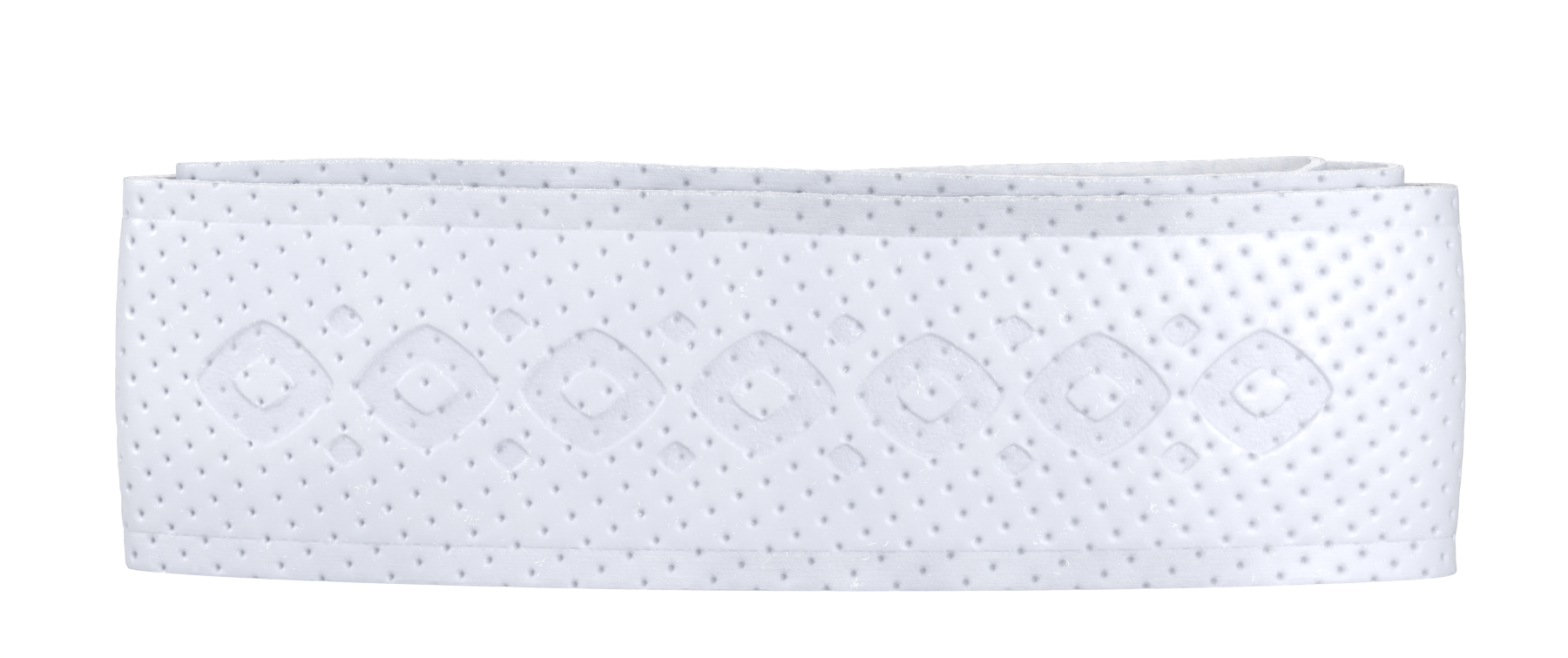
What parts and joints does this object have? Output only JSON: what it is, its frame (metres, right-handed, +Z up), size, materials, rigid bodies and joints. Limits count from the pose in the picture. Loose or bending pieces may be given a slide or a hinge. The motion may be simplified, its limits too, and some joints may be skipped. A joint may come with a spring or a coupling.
{
  "type": "grip tape roll",
  "caption": "Flattened roll of white perforated replacement grip tape for a racket handle: cushioned strip with felt back, adhesive and liner, and a tapered tail that peels open.",
  "frame": {"origin": "middle of the roll's footprint, on the surface that its cut edges stand on", "axes": "+X along the roll, +Z up along the strip's width, -Y towards the front face of the outer wrap; the tapered tail lies on the +Y side"},
  "size_m": [0.1026, 0.0197, 0.0315],
  "materials": {
    "perforated_skin": "satin white polyurethane with pinholes and fine grain",
    "felt": "matt non-woven felt",
    "adhesive": "tacky double-sided adhesive film",
    "liner_paper": "silicone-coated release paper"
  },
  "bodies": {
    "roll": {"grip_skin": "perforated_skin", "felt_backing": "felt", "adhesive_strip": "adhesive", "release_liner": "liner_paper"},
    "tail_base": {"tail_base_skin": "perforated_skin", "tail_base_felt": "felt", "tail_base_adhesive": "adhesive", "tail_base_liner": "liner_paper"},
    "tail_tip": {"tail_tip_skin": "perforated_skin", "tail_tip_felt": "felt", "starter_tab": "adhesive", "starter_liner": "liner_paper"}
  },
  "joints": [
    {"name": "tail_base_peel", "type": "hinge", "parent": "roll", "child": "tail_base", "pos_m": [0.02403, 0.00928, 0], "axis": [0, 0, -1], "range_deg": [0, 45]},
    {"name": "tail_tip_peel", "type": "hinge", "parent": "tail_base", "child": "tail_tip", "pos_m": [-0.00303, 0.00985, 0], "axis": [0, 0, -1], "range_deg": [0, 45]}
  ],
  "couplings": [
    {"joint": "tail_tip_peel", "follows": "tail_base_peel", "ratio": 1}
  ]
}
